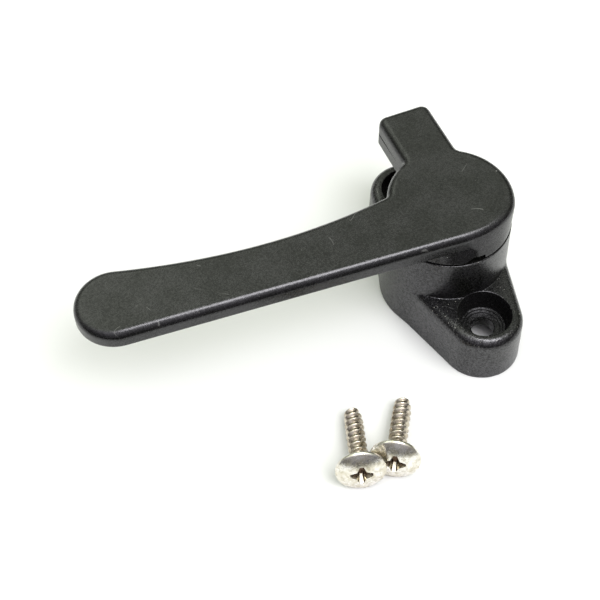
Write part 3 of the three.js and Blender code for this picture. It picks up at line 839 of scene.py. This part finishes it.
class Nodes:
    """A node tree, with short calls for the nodes used here."""

    def __init__(self, tree, coordinates):
        self.tree = tree
        self.place = tree.nodes.new("ShaderNodeTexCoord").outputs[coordinates]

    def link(self, output, target):
        self.tree.links.new(output, target)

    def feed(self, value, socket):
        """Links an output to a socket, or sets the socket to a number or a colour."""
        if isinstance(value, (int, float)):
            socket.default_value = value
        elif isinstance(value, tuple):
            socket.default_value = (*value, 1)
        else:
            self.link(value, socket)

    def stretched(self, scale):
        """Coordinates for a texture that is finer along an axis by that axis's scale."""
        node = self.tree.nodes.new("ShaderNodeMapping")
        node.inputs["Scale"].default_value = scale
        self.link(self.place, node.inputs["Vector"])
        return node.outputs["Vector"]

    def noise(self, size, detail=2.0, roughness=0.5, place=None):
        """Soft noise whose features are about size millimetres across."""
        node = self.tree.nodes.new("ShaderNodeTexNoise")
        node.inputs["Scale"].default_value = 1 / (size * MM)
        node.inputs["Detail"].default_value = detail
        node.inputs["Roughness"].default_value = roughness
        self.link(place or self.place, node.inputs["Vector"])
        return node.outputs["Fac"]

    def cells(self, size):
        """Distance to the nearest of scattered points about size millimetres apart."""
        node = self.tree.nodes.new("ShaderNodeTexVoronoi")
        node.inputs["Scale"].default_value = 1 / (size * MM)
        self.link(self.place, node.inputs["Vector"])
        return node.outputs["Distance"]

    def remap(self, value, low, high, to_low, to_high):
        """Takes low to to_low and high to to_high, with a soft start and end."""
        node = self.tree.nodes.new("ShaderNodeMapRange")
        node.interpolation_type = "SMOOTHSTEP"
        sockets = ("From Min", "From Max", "To Min", "To Max")
        for socket, number in zip(sockets, (low, high, to_low, to_high)):
            node.inputs[socket].default_value = number
        self.link(value, node.inputs["Value"])
        return node.outputs["Result"]

    def maths(self, operation, *values):
        node = self.tree.nodes.new("ShaderNodeMath")
        node.operation = operation
        for socket, value in zip(node.inputs, values):
            self.feed(value, socket)
        return node.outputs["Value"]

    def add(self, first, second):
        return self.maths("ADD", first, second)

    def times(self, first, second):
        return self.maths("MULTIPLY", first, second)

    def mix(self, share, first, second):
        """The first colour where share is 0, the second where it is 1."""
        node = self.tree.nodes.new("ShaderNodeMix")
        node.data_type = "RGBA"
        for index, value in ((0, share), (6, first), (7, second)):
            self.feed(value, node.inputs[index])
        return node.outputs[2]

    def facing(self, axis):
        """How far the texture coordinates, taken as a direction, face along an axis."""
        node = self.tree.nodes.new("ShaderNodeVectorMath")
        node.operation = "DOT_PRODUCT"
        node.inputs[1].default_value = axis
        self.link(self.place, node.inputs[0])
        return node.outputs["Value"]

    def scaled(self, colour, factor):
        node = self.tree.nodes.new("ShaderNodeVectorMath")
        node.operation = "SCALE"
        self.link(colour, node.inputs[0])
        self.link(factor, node.inputs["Scale"])
        return node.outputs["Vector"]

    def upright(self, vector):
        """The vertical part of a vector."""
        node = self.tree.nodes.new("ShaderNodeSeparateXYZ")
        self.link(vector, node.inputs["Vector"])
        return node.outputs["Z"]

    def facing_up(self):
        """How far the surface faces up, from -1 to 1."""
        return self.upright(self.tree.nodes.new("ShaderNodeNewGeometry").outputs["Normal"])

    def height(self):
        """Height above the mounting face, in metres."""
        return self.upright(self.place)

    def pointiness(self):
        """Above 0.5 on convex edges, below it in hollows."""
        return self.tree.nodes.new("ShaderNodeNewGeometry").outputs["Pointiness"]

    def bump(self, height, distance, strength=1.0, below=None):
        """A bump of the given height in millimetres, on top of the relief below it."""
        node = self.tree.nodes.new("ShaderNodeBump")
        node.inputs["Distance"].default_value = distance * MM
        self.feed(strength, node.inputs["Strength"])
        self.link(height, node.inputs["Height"])
        if below:
            self.link(below, node.inputs["Normal"])
        return node.outputs["Normal"]


class Material(Nodes):
    """A new material whose textures lie in object coordinates."""

    def __init__(self, name):
        self.material = bpy.data.materials.new(name)
        self.material.use_nodes = True
        super().__init__(self.material.node_tree, "Object")
        self.shader = self.tree.nodes["Principled BSDF"]

    def set(self, socket, value):
        self.feed(value, self.shader.inputs[socket])

    def finish(self, colour, roughness, normal):
        self.set("Base Color", colour)
        self.set("Roughness", roughness)
        self.set("Normal", normal)
        return self.material


def nylon(name, ior, grain, grain_height, roughness, grain_sparkle_and_painted_glint):
    """Black moulded nylon with a spark-eroded grain, flow marks, rubbed edges, dust specks and
    painted glints: pale specks painted on facets of the grain as highlights.

    Sparkle says how strongly single facets of the grain glint, through their shine and relief, and
    how strong the painted glints are.
    """
    nodes = Material(name)
    nodes.set("IOR", ior)
    nodes.set("Specular Tint", (0.96, 0.945, 1.0))
    mottle = nodes.noise(7, 3)
    fine = nodes.noise(grain, 2, 0.65)
    coarse = nodes.noise(grain * 2.3, 2, 0.6)
    facing_up = nodes.facing_up()

    # The grain, and the painted glints that stand for its highlights, show most on rounded edges,
    # less on flat tops, and not low on the walls
    rounded = nodes.remap(facing_up, 0.3, 0.8, 0.1, 1)
    grain_and_painted_glint_mask = nodes.times(rounded, nodes.remap(facing_up, 0.94, 0.99, 1, 0.4))
    grain_and_painted_glint_mask = nodes.times(grain_and_painted_glint_mask, nodes.remap(nodes.height(), 9 * MM, 10 * MM, 0, 1))

    # Colour: cloudy black, grit, painted glints (painted highlights on grain facets), dust, scuffs
    # and worn edges
    cloud = nodes.remap(mottle, 0.35, 0.65, 0, 1)
    tone = nodes.mix(cloud, (0.0026, 0.0027, 0.0023), (0.0038, 0.0036, 0.0039))
    grit = nodes.times(nodes.remap(fine, 0.5, 0.75, 0, 1), 0.2 * grain_sparkle_and_painted_glint + 0.1)
    tone = nodes.mix(grit, tone, (0.020, 0.019, 0.018))
    # Painted highlight: pale specks where facets of the grain would glint, mostly on rounded edges
    # that face up
    painted_glint = nodes.remap(nodes.cells(grain * 2.2), 0.10, 0.22, 1, 0)
    painted_glint = nodes.times(painted_glint, nodes.remap(nodes.noise(grain * 1.7, 1), 0.52, 0.64, 0, 1))
    painted_glint = nodes.times(painted_glint, nodes.times(grain_and_painted_glint_mask, grain_sparkle_and_painted_glint))
    tone = nodes.mix(painted_glint, tone, (0.50, 0.48, 0.43))
    dust = nodes.remap(nodes.cells(6), 0.018, 0.034, 0.9, 0)
    tone = nodes.mix(dust, tone, (0.20, 0.20, 0.19))
    contour = nodes.maths("ABSOLUTE", nodes.add(nodes.noise(13, 1), -0.5))
    scuff = nodes.remap(contour, 0.0015, 0.004, 0.7, 0)
    scuff = nodes.times(scuff, nodes.remap(nodes.noise(4.5, 1), 0.6, 0.66, 0, 1))
    tone = nodes.mix(nodes.times(scuff, rounded), tone, (0.11, 0.11, 0.105))
    worn = nodes.times(nodes.remap(nodes.pointiness(), 0.54, 0.62, 0, 0.5), fine)
    tone = nodes.mix(worn, tone, (0.04, 0.04, 0.038))

    # Roughness: a little more on walls
    cloudy = nodes.remap(mottle, 0.3, 0.7, roughness - 0.02, roughness + 0.03)
    grained = nodes.remap(fine, 0.3, 0.7, -0.05, 0.05)
    rough = nodes.add(cloudy, nodes.add(grained, nodes.remap(facing_up, 0.05, 0.35, 0.05, 0)))

    # Shine: it follows the grain, and is less on flat tops
    peaks = nodes.add(fine, nodes.times(coarse, 0.5))
    shine = nodes.remap(peaks, 0.55, 0.95, 0.38 - 0.11 * grain_sparkle_and_painted_glint, 0.62 + 0.26 * grain_sparkle_and_painted_glint)
    shine = nodes.times(shine, nodes.remap(mottle, 0.35, 0.65, 0.92, 1.08))
    shine = nodes.times(shine, nodes.remap(facing_up, 0.94, 0.99, 1, 0.92 - 0.34 * grain_sparkle_and_painted_glint))
    nodes.set("Specular IOR Level", shine)

    # Relief: flow marks under two sizes of grain
    relief = nodes.bump(nodes.noise(9, 1), 0.03)
    strength = nodes.add(nodes.times(grain_and_painted_glint_mask, 0.6 * grain_sparkle_and_painted_glint), 1 - 0.6 * grain_sparkle_and_painted_glint)
    relief = nodes.bump(coarse, grain_height * 1.2, strength, relief)
    relief = nodes.bump(fine, grain_height, strength, relief)
    return nodes.finish(tone, rough, relief)


def nickel(name, bright, dull, stained, stain_strength, roughness, painted_hollow_shade=None):
    """Nickel plate, clouded and stained in patches, with polishing marks and, where a shade colour
    is given, painted shade in hollows.
    """
    nodes = Material(name)
    nodes.set("Metallic", 1)
    cloud = nodes.noise(1.9, 3)
    stain = nodes.noise(0.8, 4, 0.65)
    scratch = nodes.noise(0.5, 3, 0.7, nodes.stretched((1, 9, 3)))
    tone = nodes.mix(nodes.remap(cloud, 0.35, 0.65, 0, 1), dull, bright)
    tone = nodes.mix(nodes.remap(stain, 0.46, 0.62, 0, stain_strength), tone, stained)
    # Painted shade: hollows, where pointiness is low, darken towards the given shade colour
    if painted_hollow_shade:
        tone = nodes.mix(nodes.remap(nodes.pointiness(), 0.455, 0.51, 0.95, 0), tone, painted_hollow_shade)
    patchy = nodes.remap(stain, 0.35, 0.7, roughness, roughness + 0.14)
    rough = nodes.add(patchy, nodes.remap(scratch, 0.3, 0.7, -0.02, 0.04))
    relief = nodes.bump(scratch, 0.008)
    relief = nodes.bump(stain, 0.025, below=relief)
    return nodes.finish(tone, rough, relief)


def recess_shade_nickel_material(name):
    """Nickel for the cross recess with painted shade: brown and mottled on faces that don't look
    up, and a painted lit tone on faces that do.
    """
    nodes = Material(name)
    nodes.set("Metallic", 1)
    stain = nodes.noise(0.5, 3, 0.6)
    dark = nodes.mix(stain, (0.05, 0.03, 0.02), (0.17, 0.11, 0.075))
    painted_lit_tone = nodes.mix(stain, (0.56, 0.50, 0.36), (0.86, 0.82, 0.68))
    # Painted shade on the recess walls, painted light on the faces that look up
    tone = nodes.mix(nodes.remap(nodes.facing_up(), 0.35, 0.75, 0, 1), dark, painted_lit_tone)
    rough = nodes.remap(stain, 0.3, 0.7, 0.2, 0.4)
    return nodes.finish(tone, rough, nodes.bump(stain, 0.02))


def zinc(name):
    """Zinc plated steel, slightly cloudy."""
    nodes = Material(name)
    nodes.set("Metallic", 1)
    tone = nodes.mix(nodes.noise(1.2, 4), (0.46, 0.46, 0.44), (0.62, 0.61, 0.57))
    rough = nodes.remap(nodes.noise(0.4, 3), 0.3, 0.7, 0.26, 0.42)
    return nodes.finish(tone, rough, nodes.bump(nodes.noise(0.12, 2), 0.008))


def acetal(name):
    """Natural acetal, an off-white waxy plastic."""
    nodes = Material(name)
    nodes.set("IOR", 1.48)
    tone = nodes.mix(nodes.noise(2.5, 2), (0.74, 0.72, 0.66), (0.84, 0.82, 0.77))
    rough = nodes.remap(nodes.noise(0.8, 3), 0.3, 0.7, 0.34, 0.46)
    return nodes.finish(tone, rough, nodes.bump(nodes.noise(0.2, 2), 0.006))


def matt(name, cloud_size, dark, light, relief_size, relief_height):
    """A matt surface without shine, for the things on the stage."""
    nodes = Material(name)
    nodes.set("Specular IOR Level", 0)
    cloud = nodes.noise(cloud_size, 2)
    rough = nodes.remap(cloud, 0.3, 0.7, 0.85, 0.95)
    relief = nodes.bump(nodes.noise(relief_size, 2), relief_height)
    return nodes.finish(nodes.mix(cloud, dark, light), rough, relief)


def dress(piece, *materials):
    """Gives a piece these materials and no others."""
    piece.data.materials.clear()
    for material in materials:
        piece.data.materials.append(material)


# ---- Building the pieces ----

base_nylon = nylon(
    "base_nylon", ior=1.54, grain=0.36, grain_height=0.048, roughness=0.24, grain_sparkle_and_painted_glint=0.9
)
handle_nylon = nylon(
    "handle_nylon", ior=1.53, grain=0.30, grain_height=0.018, roughness=0.25, grain_sparkle_and_painted_glint=0.1
)
screw_nickel = nickel(
    "screw_nickel",
    bright=(0.90, 0.87, 0.83),
    dull=(0.70, 0.655, 0.555),
    stained=(0.42, 0.375, 0.25),
    stain_strength=0.42,
    roughness=0.19,
)
# Painted shade for the inside of the screws' cross recess
painted_recess_shade = recess_shade_nickel_material("painted_recess_shade")
thread_nickel = nickel(
    "thread_nickel",
    bright=(0.70, 0.64, 0.55),
    dull=(0.54, 0.48, 0.39),
    stained=(0.38, 0.32, 0.24),
    stain_strength=0.7,
    roughness=0.2,
    # painted shade in the roots of the thread
    painted_hollow_shade=(0.10, 0.07, 0.045),
)
inner_zinc = zinc("inner_zinc")
inner_acetal = acetal("inner_acetal")

base = build_base()
lever = build_lever()
cam_plate = build_cam_plate()
left_screw = lay_screw("fixing_screw_1", "wood_screw_left", 252)
right_screw = lay_screw("fixing_screw_2", "wood_screw_right", 238)
PIECES = [
    (base, "base", "base_body", base_nylon, "black_nylon"),
    (lever, "handle", "handle_lever", handle_nylon, "black_nylon"),
    (cam_plate, "handle", "cam_plate", handle_nylon, "black_nylon"),
    (left_screw, "base", "fixing_screw_1", screw_nickel, "nickel_steel"),
    (right_screw, "base", "fixing_screw_2", screw_nickel, "nickel_steel"),
]
for piece, body, node, material, slot in PIECES:
    dress(piece, material)
    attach(piece, body)
    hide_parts(node)
    if "zones" in piece:
        dress(piece, screw_nickel, painted_recess_shade, thread_nickel)
        for face, zone in zip(piece.data.polygons, piece["zones"]):
            face.material_index = zone
        del piece["zones"]

dress(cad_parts["recess_cap"], base_nylon)
for node in ("upper_bush", "lower_bush", "thrust_washer"):
    dress(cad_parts[node], inner_acetal)
for node in (
    "stop_pin",
    "detent_spring_1",
    "detent_spring_2",
    "detent_ball_1",
    "detent_ball_2",
    "pivot_stud",
    "wave_spring",
    "plain_washer",
    "retaining_nut",
    "cam_plate_screw_1",
    "cam_plate_screw_2",
):
    dress(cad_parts[node], inner_zinc)


# ---- Table, light and camera ----


def add_table():
    corners = ((-1, -1), (1, -1), (1, 1), (-1, 1))
    vertices = [(x * TABLE_REACH, y * TABLE_REACH, TABLE_HEIGHT) for x, y in corners]
    table = make_object("table", vertices, [(0, 1, 2, 3)])
    dress(table, matt("table_white", 40, (0.80, 0.80, 0.80), (0.81, 0.81, 0.81), 1, 0.004))


def add_world():
    """Studio surroundings: dark near the horizon, brighter overhead and paler on the far side.

    The far side is stronger to the camera's left, and the whole sky fades to the left and right.
    """
    world = bpy.data.worlds.new("studio")
    bpy.context.scene.world = world
    world.use_nodes = True
    nodes = Nodes(world.node_tree, "Generated")

    def sky(stops, tint):
        node = nodes.tree.nodes.new("ShaderNodeValToRGB")
        ramp = node.color_ramp
        while len(ramp.elements) < len(stops):
            ramp.elements.new(0.5)
        for element, (height, _) in zip(ramp.elements, stops):
            element.position = height
        for element, (_, radiance) in zip(ramp.elements, stops):
            element.color = (*(channel * radiance / SKY_PEAK for channel in tint), 1)
        nodes.link(nodes.facing((0, 0, 1)), node.inputs["Fac"])
        return node.outputs["Color"]

    leftward = nodes.facing(-RIGHT)
    gain = nodes.remap(leftward, 0.0, 0.19, 1, 1 + LEFT_GAIN)
    far = nodes.scaled(sky(FAR_SKY, FAR_TINT), gain)
    nearness = nodes.remap(nodes.facing(FRONT), -0.25, 0.35, 0, 1)
    whole = nodes.mix(nearness, far, sky(NEAR_SKY, NEAR_TINT))
    fade = nodes.remap(nodes.maths("ABSOLUTE", leftward), 0.24, 0.62, 1, SIDE_GAIN)
    background = nodes.tree.nodes["Background"]
    nodes.link(nodes.scaled(whole, fade), background.inputs["Color"])
    background.inputs["Strength"].default_value = SKY_PEAK


def add_card():
    """A dark card flat on the table in front of the camera's view, which only reflections meet."""
    along = np.array(FRONT[:2])
    across = np.array([-along[1], along[0]])
    near, far, half = CARD_DISTANCE, CARD_DISTANCE + CARD_DEPTH, CARD_WIDTH / 2
    corners = ((near, -half), (near, half), (far, half), (far, -half))
    plan = np.array([along * distance + across * side for distance, side in corners])
    card = make_object("dark_card", ring_at(plan, CARD_HEIGHT), [(0, 1, 2, 3)])
    dress(card, matt("card_black", 60, (0.02, 0.019, 0.018), (0.035, 0.034, 0.031), 60, 0.01))
    card.visible_camera = card.visible_diffuse = card.visible_shadow = False


def add_softbox(name, elevation, azimuth, size, radiance):
    """A square soft light aimed at the object, turned by its azimuth to the camera's right."""
    light = bpy.data.lights.new(name, "AREA")
    light.shape = "SQUARE"
    light.size = size
    light.energy = radiance * math.pi * size * size
    lamp = bpy.data.objects.new(name, light)
    bpy.context.scene.collection.objects.link(lamp)
    side = Matrix.Rotation(math.radians(azimuth), 3, "Z") @ FRONT
    angle = math.radians(elevation)
    back = side * math.cos(angle) + Vector((0, 0, math.sin(angle)))
    lamp.location = TARGET + back * SOFTBOX_DISTANCE
    lamp.rotation_mode = "QUATERNION"
    lamp.rotation_quaternion = back.to_track_quat("Z", "Y")
    return lamp


def add_camera():
    data = bpy.data.cameras.new("camera")
    data.lens = CAMERA_LENS
    data.sensor_width = 36
    data.clip_start, data.clip_end = 0.01, 20
    camera = bpy.data.objects.new("camera", data)
    bpy.context.scene.collection.objects.link(camera)
    back = FRONT * math.cos(CAMERA_ELEVATION) + Vector((0, 0, math.sin(CAMERA_ELEVATION)))
    axes = Matrix((RIGHT, back.cross(RIGHT), back)).transposed()
    camera.rotation_mode = "QUATERNION"
    camera.rotation_quaternion = (axes @ Matrix.Rotation(CAMERA_ROLL, 3, "Z")).to_quaternion()
    camera.location = TARGET + back * CAMERA_DISTANCE
    bpy.context.scene.camera = camera


add_table()
add_world()
add_card()
# The overhead softbox shows only in reflections, and the front one only lights surfaces
overhead = add_softbox("overhead_softbox", elevation=78, azimuth=81, size=0.42, radiance=12.5)
overhead.visible_diffuse = False
front = add_softbox("front_softbox", elevation=58, azimuth=48, size=0.65, radiance=5.9)
front.visible_glossy = False
add_camera()
bpy.context.scene.view_settings.view_transform = "Standard"
